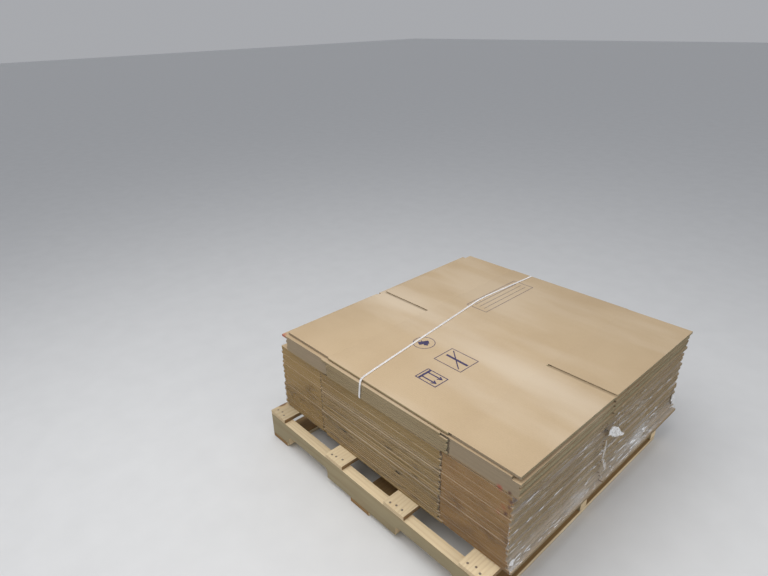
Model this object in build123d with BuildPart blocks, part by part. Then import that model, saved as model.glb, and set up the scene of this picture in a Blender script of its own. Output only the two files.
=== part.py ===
from build123d import *
import math
import os

# Wrapped load of flattened cartons on a notched stringer pallet.
# X runs along the stringers, Y along the deck boards, Z up, millimetres.
# The origin is the centre of the footprint, on the floor.

# Pallet lumber
pallet_length = 1016.0
pallet_width = 1016.0
stringer_width = 38.1
stringer_height = 88.9
top_board_width = 90.0
top_board_thickness = 15.9
bottom_board_width = 92.0
bottom_board_thickness = 15.9
inner_top_board_centres = (-128.0, 162.0)

# Fork notches sawn into the underside of each stringer
foot_length = 108.0
notch_length = 230.0
notch_depth = 38.1
notch_radius = 16.0

# Flattened cartons: two walls of corrugated board joined by two folds. The lower
# cartons fold into a taller box than the top ones
lower_box_height = 546.0
lower_flap_length = 239.0
top_box_height = 524.0
top_flap_length = 232.0
narrow_panel = 470.0
wide_panel = 538.0
sheet_thickness = 4.1
ply_gap = 0.3
slot_width = 9.0
crease_width = 6.0
crease_depth = 0.8

# Stacking
rest_gap = 0.1

# Stretch film round the lower bundles
film_thickness = 0.6
film_clearance = 0.3
film_lift = 2.0

# String round the top bundle, and the bites it makes in the lowest carton's folds
string_diameter = 3.2
string_sides = 6
string_clearance = 0.2
string_bite_radius = 3.2
string_bite_depth = 2.0
string_bite_height = 6.2
string_middle_bend = 0.9
string_front_x = -98.0
string_front_low_x = -112.0
string_middle_x = -182.0
string_middle_y = 186.0
string_back_x = -164.0

# Bundles from the deck up: cartons, centre from the pallet's centre, and
# how far single cartons slip to either side of their bundle
lower_bundles = (
    dict(count=3, centre=(16.5, 60.0), slip=(11.5, 1.0)),
    dict(count=9, centre=(9.0, 62.0), slip=(4.0, 1.5)),
    dict(count=10, centre=(8.5, 64.0), slip=(3.5, 1.5)),
    dict(count=8, centre=(9.5, 66.0), slip=(4.5, 1.0)),
)
top_bundle = dict(count=8, centre=(42.0, 68.0), slip=(3.0, 0.0))
slip_turn = 2.4

# the carton right under the top one is pushed out to the left
pushed_index = top_bundle["count"] - 2
pushed_out = 24.0

# Sizes that follow from the ones above
lower_blank_length = lower_box_height + 2 * lower_flap_length
blank_width = narrow_panel + wide_panel
carton_thickness = 2 * sheet_thickness + ply_gap
carton_pitch = carton_thickness + rest_gap
fold_radius = carton_thickness / 2
slot_y = narrow_panel - blank_width / 2
stringer_top = bottom_board_thickness + stringer_height
deck_top = stringer_top + top_board_thickness
string_radius = string_diameter / 2
string_offset = string_clearance + string_radius
film_outset = film_clearance + film_thickness


def bundle_reach(bundle, outset=0.0):
    """Low and high corner of the rectangle that a bundle's cartons stay in."""
    centre_x, centre_y = bundle["centre"]
    slip_x, slip_y = bundle["slip"]
    half_x = lower_blank_length / 2 + slip_x + outset
    half_y = blank_width / 2 + slip_y + outset
    low = (centre_x - half_x, centre_y - half_y)
    high = (centre_x + half_x, centre_y + half_y)
    return low, high


def joint_reach(bundles, outset=0.0):
    """The rectangle that holds the reach of several bundles."""
    reaches = [bundle_reach(bundle, outset) for bundle in bundles]
    low = tuple(min(reach[0][i] for reach in reaches) for i in range(2))
    high = tuple(max(reach[1][i] for reach in reaches) for i in range(2))
    return low, high


# The footprint's middle, measured from the pallet's centre
film_low, film_high = joint_reach(lower_bundles, film_outset)
string_back_y = top_bundle["centre"][1] + blank_width / 2 + string_offset
left_end = min(-pallet_length / 2, film_low[0])
right_end = max(pallet_length / 2, film_high[0])
front_end = min(-pallet_width / 2, film_low[1])
back_end = max(pallet_width / 2, film_high[1], string_back_y + string_radius)
pallet_x = -(left_end + right_end) / 2
pallet_y = -(front_end + back_end) / 2

os.makedirs("parts", exist_ok=True)


def write(part, name):
    part.label = name
    export_step(part, f"parts/{name}.step")


# Stringer, drawn from the side and sawn to its width
with BuildPart() as stringer:
    with BuildSketch(Plane.XZ):
        with Locations((0, bottom_board_thickness + stringer_height / 2)):
            Rectangle(pallet_length, stringer_height)
        notch_x = pallet_length / 2 - foot_length - notch_length / 2
        with BuildSketch(mode=Mode.PRIVATE) as notch:
            RectangleRounded(notch_length, 2 * notch_depth, notch_radius)
        with Locations(
            (-notch_x, bottom_board_thickness), (notch_x, bottom_board_thickness)
        ):
            add(notch.sketch, mode=Mode.SUBTRACT)
    extrude(amount=stringer_width / 2, both=True)

stringer_rows = {"stringer_front": -1, "stringer_middle": 0, "stringer_back": 1}
for name, row in stringer_rows.items():
    y = pallet_y + row * (pallet_width - stringer_width) / 2
    write(stringer.part.moved(Location((pallet_x, y, 0))), name)

# Top deck: two end boards flush with the stringer ends and two inner boards
with BuildPart() as top_board:
    Box(top_board_width, pallet_width, top_board_thickness)

end_board_x = (pallet_length - top_board_width) / 2
top_board_places = (-end_board_x, *inner_top_board_centres, end_board_x)
for number, x in enumerate(top_board_places, start=1):
    z = stringer_top + top_board_thickness / 2
    place = Location((pallet_x + x, pallet_y, z))
    write(top_board.part.moved(place), f"top_board_{number}")

# Bottom deck: a board under each foot and one under the middle block
with BuildPart() as bottom_board:
    Box(bottom_board_width, pallet_width, bottom_board_thickness)

bottom_end_x = (pallet_length - bottom_board_width) / 2
for number, x in enumerate((-bottom_end_x, 0.0, bottom_end_x), start=1):
    place = Location((pallet_x + x, pallet_y, bottom_board_thickness / 2))
    write(bottom_board.part.moved(place), f"bottom_board_{number}")


def flattened_carton(box_height, flap_length):
    """A carton folded flat along its two long edges, round the origin."""
    blank_length = box_height + 2 * flap_length
    with BuildPart() as carton:
        with BuildSketch(Plane.YZ.offset(-blank_length / 2)):
            SlotOverall(blank_width, carton_thickness)
            Rectangle(blank_width - 2 * sheet_thickness, ply_gap, mode=Mode.SUBTRACT)
        extrude(amount=blank_length)

        # Slots between the flaps, one line on each wall, open at the raw ends
        flap_x = (blank_length - flap_length) / 2
        with BuildSketch(Plane.XY):
            with Locations((-flap_x, slot_y), (flap_x, slot_y)):
                Rectangle(flap_length, slot_width)
        extrude(amount=carton_thickness, mode=Mode.SUBTRACT)
        with BuildSketch(Plane.XY):
            with Locations((-flap_x, -slot_y), (flap_x, -slot_y)):
                Rectangle(flap_length, slot_width)
        extrude(amount=-carton_thickness, mode=Mode.SUBTRACT)

        # Half slots that open the folds between the flaps
        with BuildSketch(Plane.XY):
            with GridLocations(2 * flap_x, blank_width, 2, 2):
                Rectangle(flap_length, slot_width)
        extrude(amount=carton_thickness, both=True, mode=Mode.SUBTRACT)

        # Flap creases pressed across both walls, from fold to fold
        with BuildSketch(Plane.XZ):
            with GridLocations(box_height, carton_thickness, 2, 2):
                with BuildLine(mode=Mode.PRIVATE) as crease:
                    Polyline(
                        (-crease_width / 2, 0),
                        (0, -crease_depth),
                        (crease_width / 2, 0),
                        (0, crease_depth),
                        close=True,
                    )
                make_face(crease.edges())
        extrude(amount=blank_width / 2 - fold_radius, both=True, mode=Mode.SUBTRACT)
    return carton.part


def slipped(bundle, index):
    """Centre of one carton of a bundle, slipped sideways as stacks do."""
    centre_x, centre_y = bundle["centre"]
    slip_x, slip_y = bundle["slip"]
    x = centre_x + slip_x * math.cos(slip_turn * index)
    y = centre_y + slip_y * math.sin(slip_turn * index)
    return pallet_x + x, pallet_y + y


# Lower bundles, carton by carton
lower_carton = flattened_carton(lower_box_height, lower_flap_length)
lower_count = sum(bundle["count"] for bundle in lower_bundles)
lower_places = [
    slipped(bundle, index)
    for bundle in lower_bundles
    for index in range(bundle["count"])
]
for number, (x, y) in enumerate(lower_places):
    z = deck_top + number * carton_pitch + carton_thickness / 2
    write(lower_carton.moved(Location((x, y, z))), f"lower_carton_{number + 1:02d}")

# Top bundle, with a groove where the string bites into its lowest carton
top_base = deck_top + lower_count * carton_pitch
top_surface = top_base + (top_bundle["count"] - 1) * carton_pitch + carton_thickness
bundle_x = pallet_x + top_bundle["centre"][0]
bundle_y = pallet_y + top_bundle["centre"][1]
string_y = blank_width / 2 + string_offset
string_low_z = top_base + string_offset
groove_width = string_diameter + 2 * string_clearance
groove_depth = groove_width

groove_run = Vector(string_back_x - string_front_low_x, 2 * string_y, 0)
groove_turn = -math.degrees(math.atan2(groove_run.X, groove_run.Y))
groove_x = bundle_x + (string_front_low_x + string_back_x) / 2

plain_top_carton = flattened_carton(top_box_height, top_flap_length)
for index in range(top_bundle["count"]):
    x, y = slipped(top_bundle, index)
    if index == pushed_index:
        x -= pushed_out
    z = top_base + index * carton_pitch + carton_thickness / 2
    with BuildPart() as top_carton:
        add(plain_top_carton.moved(Location((x, y, z))))
        if index == 0:
            with BuildSketch(Plane.XY.offset(top_base)):
                with Locations(Location((groove_x, bundle_y, 0), (0, 0, groove_turn))):
                    Rectangle(groove_width, groove_run.length)
            extrude(amount=groove_depth, mode=Mode.SUBTRACT)
            with BuildSketch(Plane.XY.offset(top_base)):
                for end_x, side in ((string_front_low_x, -1), (string_back_x, 1)):
                    with Locations((bundle_x + end_x, bundle_y + side * blank_width / 2)):
                        Rectangle(groove_width, 2 * string_bite_depth)
            extrude(amount=string_bite_height, mode=Mode.SUBTRACT)
    write(top_carton.part, f"top_carton_{index + 1}")

# Stretch film, a thin skin that follows the reach of the lower bundles
film_levels = [deck_top + film_lift]
stacked = 0
for bundle in lower_bundles:
    stacked += bundle["count"]
    film_levels.append(deck_top + stacked * carton_pitch)
film_levels[-1] -= rest_gap


def film_body(outset, mode):
    """The load's outside as a ruled body with one section at each bundle joint."""
    sections = []
    for level, z in enumerate(film_levels):
        beside = lower_bundles[max(level - 1, 0) : level + 1]
        low, high = joint_reach(beside, outset)
        middle_x = pallet_x + (low[0] + high[0]) / 2
        middle_y = pallet_y + (low[1] + high[1]) / 2
        with BuildSketch(Plane.XY.offset(z)) as section:
            with Locations((middle_x, middle_y)):
                Rectangle(high[0] - low[0], high[1] - low[1])
        sections.append(section.sketch.face())
    loft(sections, ruled=True, mode=mode)


with BuildPart() as stretch_film:
    film_body(film_outset, Mode.ADD)
    film_body(film_clearance, Mode.SUBTRACT)
write(stretch_film.part, "stretch_film")

# String tied round the top bundle: over the top, round the folds, back underneath
string_top_z = top_surface + string_offset
string_fold_radius = fold_radius + string_offset
front_top = Vector(bundle_x + string_front_x, bundle_y - string_y, string_top_z)
front_low = Vector(bundle_x + string_front_low_x, bundle_y - string_y, string_low_z)
middle_top = Vector(bundle_x + string_middle_x, bundle_y + string_middle_y, string_top_z)
back_top = Vector(bundle_x + string_back_x, bundle_y + string_y, string_top_z)
back_low = Vector(bundle_x + string_back_x, bundle_y + string_y, string_low_z)
start_low = (front_low + back_low) / 2
start_top = (front_top + middle_top) / 2

# The bend in the middle takes up a share of half of the run to the back fold
back_run = back_top - middle_top
middle_turn = math.radians((middle_top - front_top).get_angle(back_run))
middle_length = string_middle_bend * back_run.length / 2
middle_radius = middle_length / math.tan(middle_turn / 2)

string_routes = (
    (
        (start_low, front_low, front_top, start_top),
        (string_bite_radius, string_fold_radius),
    ),
    (
        (start_top, middle_top, back_top, back_low, start_low),
        (middle_radius, string_fold_radius, string_bite_radius),
    ),
)
string_length = 0.0
with BuildPart() as bundle_string:
    for points, radii in string_routes:
        with BuildLine() as route:
            FilletPolyline(*points, radius=radii)
        start, heading = route.wire() @ 0, route.wire() % 0
        with BuildSketch(Plane(start, x_dir=(0, 0, 1), z_dir=heading)):
            RegularPolygon(string_radius, string_sides)
        sweep(path=route.wire())
        string_length += route.wire().length
write(bundle_string.part, "bundle_string")

string_section = string_sides * math.sin(math.tau / string_sides) / 2 * string_radius**2
print("string radii", [round(radius, 1) for _, radii in string_routes for radius in radii])
print("string volume", bundle_string.part.volume, "expected", string_length * string_section)
print("deck top", deck_top, "top of the load", string_top_z + string_radius)
print("footprint", right_end - left_end, back_end - front_end)
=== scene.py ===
"""Looks for a wrapped pallet load of flattened cartons.

The file is laid out as a Blender add-on and run as a script. Each operator models
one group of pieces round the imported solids, in metres.
"""

import math
import random

import bpy
from mathutils import Matrix, Vector


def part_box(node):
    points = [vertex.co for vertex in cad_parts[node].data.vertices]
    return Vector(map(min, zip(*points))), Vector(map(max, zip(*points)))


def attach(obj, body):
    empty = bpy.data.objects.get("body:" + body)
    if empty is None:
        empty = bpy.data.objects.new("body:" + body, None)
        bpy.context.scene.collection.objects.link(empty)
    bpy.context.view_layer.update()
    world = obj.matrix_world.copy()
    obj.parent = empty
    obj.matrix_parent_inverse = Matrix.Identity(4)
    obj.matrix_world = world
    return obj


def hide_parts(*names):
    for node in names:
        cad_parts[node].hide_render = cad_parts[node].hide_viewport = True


bl_info = {
    "name": "Wrapped Pallet Load",
    "version": (1, 0, 0),
    "blender": (4, 5, 0),
    "location": "View3D > Sidebar > Pallet Load",
    "description": "Models flattened cartons, stretch film, twine and a pallet",
    "category": "Object",
}

BODY = "root"
X, Y, Z = range(3)
# Two places nearer than this are the same place
NEAR = 0.0001

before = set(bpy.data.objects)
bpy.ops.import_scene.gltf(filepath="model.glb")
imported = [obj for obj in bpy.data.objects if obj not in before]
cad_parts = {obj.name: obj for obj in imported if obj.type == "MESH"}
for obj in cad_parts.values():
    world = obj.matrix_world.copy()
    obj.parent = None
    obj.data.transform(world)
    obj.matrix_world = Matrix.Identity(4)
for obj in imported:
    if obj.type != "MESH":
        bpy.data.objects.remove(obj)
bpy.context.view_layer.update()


def nodes_called(start):
    return sorted(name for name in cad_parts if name.startswith(start))


LOWER_CARTONS = nodes_called("lower_carton")
TOP_CARTONS = nodes_called("top_carton")
TOP_CARTON = TOP_CARTONS[-1]
TOP_BOARDS = nodes_called("top_board")
BOTTOM_BOARDS = nodes_called("bottom_board")
STRINGERS = nodes_called("stringer")


def size_of(node):
    """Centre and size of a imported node."""
    low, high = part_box(node)
    return (low + high) / 2, high - low


LOAD_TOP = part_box(TOP_CARTON)[1].z


# Settings


def number(name, description, default, unit="NONE", precision=2):
    return bpy.props.FloatProperty(
        name=name, description=description, default=default, unit=unit,
        precision=precision,
    )


def length(name, description, default):
    return number(name, description, default, "LENGTH", 5)


def colour(name, description, default):
    return bpy.props.FloatVectorProperty(
        name=name, description=description, default=default, subtype="COLOR",
        min=0.0, max=1.0,
    )


class CartonSettings(bpy.types.PropertyGroup):
    lower_box: length("Lower box", "Height of the box that a lower carton makes", 0.546)
    top_box: length("Top box", "Height of the box that a top carton makes", 0.524)
    narrow_panel: length("Narrow panel", "Width of the narrower panel", 0.470)
    slot_width: length("Slot width", "Width of the slots between flaps", 0.014)
    ply_gap: length("Ply gap", "Gap between the two walls of a carton", 0.0002)
    settling: length("Settling", "Air between two cartons in the stack", 0.00015)
    crease_width: length("Crease width", "Width of a flap crease", 0.006)
    crease_depth: length("Crease depth", "Depth of a flap crease", 0.0006)
    liner: length("Liner", "Thickness of the facing paper at a raw edge", 0.00045)
    flute_pitch: length("Flute pitch", "Length of one wave of the fluting", 0.0077)
    flute_paper: length("Flute paper", "Thickness of the fluting paper", 0.00035)
    flute_depth: length("Flute depth", "How deep the open flutes are modelled", 0.010)
    sag: length("Sag", "How far the stacked board waves up and down", 0.0013)
    skew: number("Skew", "How far the top bundle lies turned", 0.0095, "ROTATION")
    droop: length("Droop", "How far the rims under the top carton droop", 0.0022)
    pressing: length("Pressing", "How far the rims under the top bundle droop", 0.0055)
    looseness: length("Looseness", "How far one carton's edge strays", 0.0003)
    kraft: colour("Kraft", "Outer paper of the cartons", (0.545, 0.414, 0.263))
    kraft_shade: colour("Kraft shade", "Darker fibres and rubbed places", (0.43, 0.305, 0.175))
    raw_edge: colour("Raw edge", "Cut edges and fluting", (0.475, 0.405, 0.262))
    ink: colour("Ink", "Handling marks", (0.070, 0.060, 0.135))
    marker: colour("Marker", "Counting marks on the edges", (0.48, 0.05, 0.04))


class WoodSettings(bpy.types.PropertyGroup):
    edge_round: length("Edge round", "Wear along the boards' edges", 0.0014)
    notch_length: length("Notch length", "Length of a fork notch", 0.230)
    notch_depth: length("Notch depth", "Depth of a fork notch", 0.0381)
    notch_radius: length("Notch radius", "Radius of a fork notch's corners", 0.016)
    foot_length: length("Foot length", "Wood left outside a notch", 0.108)
    nail_head: length("Nail head", "Diameter of a nail's head", 0.0075)
    pale_wood: colour("Pale wood", "Early wood", (0.84, 0.69, 0.455))
    late_wood: colour("Late wood", "Growth rings", (0.68, 0.50, 0.29))
    knot: colour("Knot", "Knots and bark stains", (0.17, 0.085, 0.04))
    steel: colour("Steel", "Nail heads", (0.30, 0.27, 0.24))


class FilmSettings(bpy.types.PropertyGroup):
    slack: length("Slack", "Distance from the cartons to the film", 0.0004)
    wrinkle: length("Wrinkle", "Height of the film's streaks", 0.0010)
    corner: length("Corner", "Radius of the film round a corner", 0.006)
    span: number("Span", "How steeply the film drops back between cartons", 0.45)
    # The white streaks drawn in this colour are partly painted highlights
    clear: colour("Clear film", "Film and its white streaks", (0.90, 0.91, 0.92))


class TwineSettings(bpy.types.PropertyGroup):
    diameter: length("Diameter", "Thickness of the twine", 0.0032)
    width: length("Width", "Width of the twine where it lies flat", 0.0078)
    lay: length("Lay", "Length of one turn of a strand", 0.022)
    white: colour("White twine", "Colour of the twine", (0.95, 0.94, 0.95))


class StageSettings(bpy.types.PropertyGroup):
    floor: colour("Floor", "Plain pale floor", (0.72, 0.73, 0.74))
    key_power: number("Key light", "Power of the overhead lamp", 55.0)
    fill_power: number("Fill light", "Power of the side lamps", 20.0)
    sky: number("Room light", "Strength of the even room light", 0.42)


def settings(group):
    return getattr(bpy.context.scene, "load_" + group)


# Modelling helpers


def deselect():
    bpy.ops.object.select_all(action="DESELECT")


def activate(piece):
    deselect()
    piece.select_set(True)
    bpy.context.view_layer.objects.active = piece


def named(name):
    """The active object under a new name, with its place put into its mesh."""
    piece = bpy.context.active_object
    bpy.ops.object.transform_apply(location=True, rotation=True, scale=True)
    piece.name = name
    piece.data.name = name
    return piece


def block(name, centre, size):
    deselect()
    bpy.ops.mesh.primitive_cube_add(size=1, location=centre, scale=size)
    return named(name)


def edit(kind="FACE"):
    bpy.ops.object.mode_set(mode="EDIT")
    bpy.ops.mesh.select_mode(type=kind)


def leave():
    bpy.ops.object.mode_set(mode="OBJECT")


def pick(piece, wanted, kind="FACE"):
    """Selects what wanted(place, normal) accepts, and nothing else, in edit mode.

    For edges, wanted gets the two ends instead.
    """
    edit(kind)
    bpy.ops.mesh.select_all(action="DESELECT")
    leave()
    mesh = piece.data
    if kind == "FACE":
        for face in mesh.polygons:
            face.select = wanted(face.center, face.normal)
    elif kind == "VERT":
        for vertex in mesh.vertices:
            vertex.select = wanted(vertex.co, vertex.normal)
    else:
        for edge in mesh.edges:
            start, end = (mesh.vertices[i].co for i in edge.vertices)
            edge.select = wanted(start, end)
    edit(kind)


def cut(axis, *places):
    """Bisects the whole mesh, in edit mode, at places along one axis."""
    normal = Vector((axis == X, axis == Y, axis == Z))
    for place in places:
        bpy.ops.mesh.select_all(action="SELECT")
        bpy.ops.mesh.bisect(plane_co=normal * place, plane_no=normal)


def spread(low, high, step):
    """Places between low and high, about a step apart."""
    count = max(1, round((high - low) / step))
    return [low + (high - low) * i / count for i in range(1, count)]


def slice_up(node, *steps):
    """Cuts the mesh, in edit mode, a step apart along each axis of a node's box."""
    low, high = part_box(node)
    for axis, step in steps:
        cut(axis, *spread(low[axis], high[axis], step))


def apply_modifier(piece, kind, **values):
    activate(piece)
    modifier = piece.modifiers.new(kind.title(), kind)
    for name, value in values.items():
        setattr(modifier, name, value)
    bpy.ops.object.modifier_apply(modifier=modifier.name)


def displace(piece, texture, direction, strength, middle=0.5, space=None):
    """Moves a piece's surface by a texture, in its own space or a ruler's."""
    apply_modifier(
        piece, "DISPLACE", texture=texture, direction=direction, mid_level=middle,
        strength=strength, texture_coords="OBJECT" if space else "LOCAL",
        texture_coords_object=space,
    )


def join(name, pieces):
    activate(pieces[0])
    for piece in pieces:
        piece.select_set(True)
    bpy.ops.object.join()
    return named(name)


def smooth(piece, degrees=30):
    activate(piece)
    bpy.ops.object.shade_smooth_by_angle(angle=math.radians(degrees))


def linked(name, data):
    """A new object in the scene, round some data or none."""
    made = bpy.data.objects.new(name, data)
    bpy.context.collection.objects.link(made)
    return made


def copy_of(piece, name, place):
    """A copy with its own mesh, moved in the mesh."""
    copy = linked(name, piece.data.copy())
    copy.data.name = name
    copy.data.transform(Matrix.Translation(place))
    return copy


def remove(*pieces):
    for piece in pieces:
        bpy.data.objects.remove(piece)


def seat(piece, slot, *nodes, look=None):
    """Gives a finished piece its look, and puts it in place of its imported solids."""
    if look:
        piece.data.materials.clear()
        piece.data.materials.append(look)
    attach(piece, BODY)
    if nodes:
        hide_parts(*nodes)


def clouds(name, size, depth=1):
    texture = bpy.data.textures.new(name, "CLOUDS")
    texture.noise_scale = size
    texture.noise_depth = depth
    return texture


def ruler(name, place=(0, 0, 0), scale=(1, 1, 1)):
    """An empty whose space stretches and shifts a displacement texture."""
    empty = linked(name, None)
    empty.location = place
    empty.scale = scale
    return empty


# Shader helpers


class Value:
    """A socket that adds Math nodes when it is used in an expression."""

    def __init__(self, finish, socket):
        self.finish = finish
        self.socket = socket

    def maths(self, operation, *values):
        return self.finish.node(
            "ShaderNodeMath", dict(enumerate(values)), operation=operation
        )

    def __add__(self, other):
        return self.maths("ADD", self, other)

    def __radd__(self, other):
        return self.maths("ADD", other, self)

    def __sub__(self, other):
        return self.maths("SUBTRACT", self, other)

    def __rsub__(self, other):
        return self.maths("SUBTRACT", other, self)

    def __mul__(self, other):
        return self.maths("MULTIPLY", self, other)

    def __rmul__(self, other):
        return self.maths("MULTIPLY", other, self)

    def __pow__(self, other):
        return self.maths("POWER", self, other)

    def __abs__(self):
        return self.maths("ABSOLUTE", self)

    def wave(self, pitch=math.tau):
        return self.maths("SINE", self * (math.tau / pitch))

    def clamp(self):
        return self.finish.node("ShaderNodeClamp", {0: self})

    def remap(self, low, high, start=0.0, end=1.0):
        return self.finish.node(
            "ShaderNodeMapRange",
            {0: self, 1: low, 2: high, 3: start, 4: end},
            interpolation_type="SMOOTHSTEP",
        )


class Finish:
    """One material, built node by node round a Principled shader."""

    def __init__(self, name):
        self.material = bpy.data.materials.new(name)
        self.material.use_nodes = True
        self.tree = self.material.node_tree
        self.shader = self.tree.nodes["Principled BSDF"]

    def put(self, socket, value):
        if isinstance(value, Value):
            self.tree.links.new(value.socket, socket)
        elif socket.type == "RGBA":
            socket.default_value = (*value, 1.0)
        else:
            socket.default_value = value

    def node(self, kind, values, output=0, **chosen):
        """Adds a node: its settings first, then the values or links of its sockets."""
        made = self.tree.nodes.new(kind)
        for name, value in chosen.items():
            setattr(made, name, value)
        for name, value in values.items():
            self.put(made.inputs[name], value)
        return Value(self, made.outputs[output])

    def own_space(self):
        return self.node("ShaderNodeTexCoord", {}, "Object")

    def place(self, scale, shift=(0, 0, 0)):
        """Object coordinates, scaled by one number or three, and shifted."""
        if not isinstance(scale, tuple):
            scale = (scale, scale, scale)
        return self.node(
            "ShaderNodeMapping",
            {"Vector": self.own_space(), "Location": shift, "Scale": scale},
        )

    def split(self, vector):
        parts = self.tree.nodes.new("ShaderNodeSeparateXYZ")
        self.put(parts.inputs[0], vector)
        return [Value(self, socket) for socket in parts.outputs]

    def axes(self):
        """X, Y and Z of the object coordinates."""
        return self.split(self.own_space())

    def facing(self):
        """How far the surface faces along X, Y and Z."""
        return self.split(self.node("ShaderNodeNewGeometry", {}, "Normal"))

    def noise(self, scale, shift=(0, 0, 0), detail=2.0, rough=0.5):
        return self.node(
            "ShaderNodeTexNoise",
            {
                "Vector": self.place(scale, shift),
                "Scale": 1.0,
                "Detail": detail,
                "Roughness": rough,
            },
        )

    def mix(self, factor, first, second, blend="MIX"):
        sockets = {0: factor, 6: first, 7: second}
        return self.node("ShaderNodeMix", sockets, 2, data_type="RGBA", blend_type=blend)

    def times(self, first, second):
        return self.mix(1.0, first, second, "MULTIPLY")

    def tint(self, base, *shades):
        """Multiplies a colour by greys, each from dark to bright with a factor."""
        for factor, dark, bright in shades:
            grey = factor.remap(0.0, 1.0, dark, bright)
            sockets = {"Red": grey, "Green": grey, "Blue": grey}
            base = self.times(base, self.node("ShaderNodeCombineColor", sockets))
        return base

    def bump(self, height, distance, strength):
        sockets = {"Height": height, "Distance": distance, "Strength": strength}
        return self.node("ShaderNodeBump", sockets)

    def surface(self, **values):
        """Sets the Principled shader's sockets, named with underscores for spaces."""
        for name, value in values.items():
            self.put(self.shader.inputs[name.replace("_", " ")], value)
        return self.material


# Materials

# Heights between which the looks of the lower bundles change to the top bundle's
BUNDLE_STEP = (0.372, 0.386)
# Cartons in one metre of stack, for tints that change from layer to layer
LAYERS = 118.0
# Pale kraft for rubbed places, and for the broad painted highlight band across the top
RUBBED_AND_GLARE_KRAFT = (0.68, 0.575, 0.445)
# Multipliers for the folds' upright faces, low and high in the stack: a tint, and painted
# shade that keeps the sides darker than the lit tops
LOW_FOLD_TINT_AND_SHADE = (0.53, 0.46, 0.28)
HIGH_FOLD_TINT_AND_SHADE = (0.54, 0.54, 0.46)
LOW_LEFT_FLAP = (0.325, 0.208, 0.070)
LOW_RIGHT_FLAP = (0.305, 0.174, 0.060)
HIGH_FLAP = (0.315, 0.248, 0.168)
HIGH_END = (0.50, 0.465, 0.30)
# Painted shade for the end faces right under the top bundle
UNDER_BUNDLE_SHADE = (0.27, 0.155, 0.075)
# Colour of the painted shadow dots between protruding corners
SHADOW_DOT_RED = (0.10, 0.028, 0.022)
NAIL_RUST = (0.23, 0.12, 0.06)
BOARD_SIDE_STAIN = (0.42, 0.23, 0.10)
# Painted shade for the bottom boards' faces in the dark gap under the deck
GAP_SHADE_WOOD = (0.42, 0.32, 0.21)
# Painted shade for the upright sides of boards and stringers
BOARD_SIDE_SHADE = (0.57, 0.57, 0.53)
STRINGER_SIDE_SHADE = (0.46, 0.46, 0.42)


def kraft_finish(cartons):
    """Kraft liner: fibres, faint painted shade along the flutes, paler rubbed places and a
    painted highlight band, painted shade on the folds' upright faces and in the slots, layer
    by layer.
    """
    look = Finish("kraft_liner")
    x, y, z = look.axes()
    blotch = look.noise((5.0, 5.0, 60.0), detail=3.0)
    layer = look.noise((0.9, 0.9, LAYERS), detail=1.0)
    fibre = look.noise((260.0, 900.0, 900.0), detail=3.0, rough=0.7)
    speck = look.noise(700.0, detail=1.0)
    flutes = y.wave(cartons.flute_pitch)
    rub = look.noise((1.5, 6.0, 3.0), (0.3, 1.7, 0.0), detail=3.0)
    band = abs(y + 0.10 + x * 0.12).remap(0.02, 0.20, 1.0, 0.0)
    base = look.mix(blotch.remap(0.35, 0.72), cartons.kraft, cartons.kraft_shade)
    base = look.mix(0.72, base, cartons.kraft)
    base = look.tint(
        base,
        (fibre, 0.86, 1.10),
        (speck.remap(0.60, 0.72), 1.0, 0.86),
        (layer.remap(0.3, 0.7), 0.94, 1.03),
        # faint painted shade along the flutes, as washboarding gives
        (flutes * 0.5 + 0.5, 0.985, 1.01),
    )
    # The broad band is a painted highlight across the top; the rub noise is rubbed places
    pale = (rub.remap(0.42, 0.70) * 0.35 + band * 0.30) * rub.remap(0.30, 0.50)
    base = look.mix(pale, base, RUBBED_AND_GLARE_KRAFT)
    # Painted shade: the folds' upright faces are darkened, and tinted grey-green in the top
    # bundle
    fold = abs(look.facing()[Z]).remap(0.6, 0.98, 1.0, 0.0)
    fold_tint_and_shade = look.mix(z.remap(*BUNDLE_STEP), LOW_FOLD_TINT_AND_SHADE, HIGH_FOLD_TINT_AND_SHADE)
    base = look.mix(fold, base, look.times(base, fold_tint_and_shade))
    # Painted shade at the bottom of the top carton's slots
    base = look.tint(base, (slot_floor_shade(cartons, y, z), 1.0, 0.7))
    height = flutes * 0.25 + fibre * 0.5 + rub * 0.4
    return look.surface(
        Base_Color=marks_and_corner_shadows(look, cartons, base),
        Roughness=0.62 + fibre * 0.22,
        Normal=look.bump(height, 0.0004, 0.5),
        Specular_IOR_Level=0.35,
    )


# Heights between which a slot shows the inner paper, and how soft their ends are
FLOOR_HEIGHTS = (LOAD_TOP - 0.0082, LOAD_TOP - 0.0036)
FLOOR_FADE = 0.0006


def slot_floor_shade(cartons, y, z):
    """Where the inner paper shows at the bottom of the top carton's slots, darkened there as
    painted shade.
    """
    low, high = FLOOR_HEIGHTS
    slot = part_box(TOP_CARTON)[0].y - JUTTING[TOP_CARTON] + cartons.narrow_panel
    half = cartons.slot_width / 2
    inside = abs(y - slot).remap(half, half + 0.0005, 1.0, 0.0)
    below = z.remap(high - FLOOR_FADE, high, 1.0, 0.0)
    return inside * below * z.remap(low, low + FLOOR_FADE)


# Place, radius and cover of the red marker blots, then of the dark dots, which are painted
# shadows between protruding corners.
# The dots' y is FRONT_SQUASH of the real one, so that a slipped carton still shows them.
FRONT_SQUASH = 0.2
RED_BLOTS = (
    ((-0.483, -0.474, 0.430), 0.010, 0.7),
    ((-0.500, -0.472, 0.404), 0.010, 0.5),
    ((0.464, -0.474, 0.379), 0.009, 0.7),
    ((0.480, -0.474, 0.326), 0.009, 0.3),
    ((0.466, -0.474, 0.303), 0.006, 0.3),
)
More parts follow.
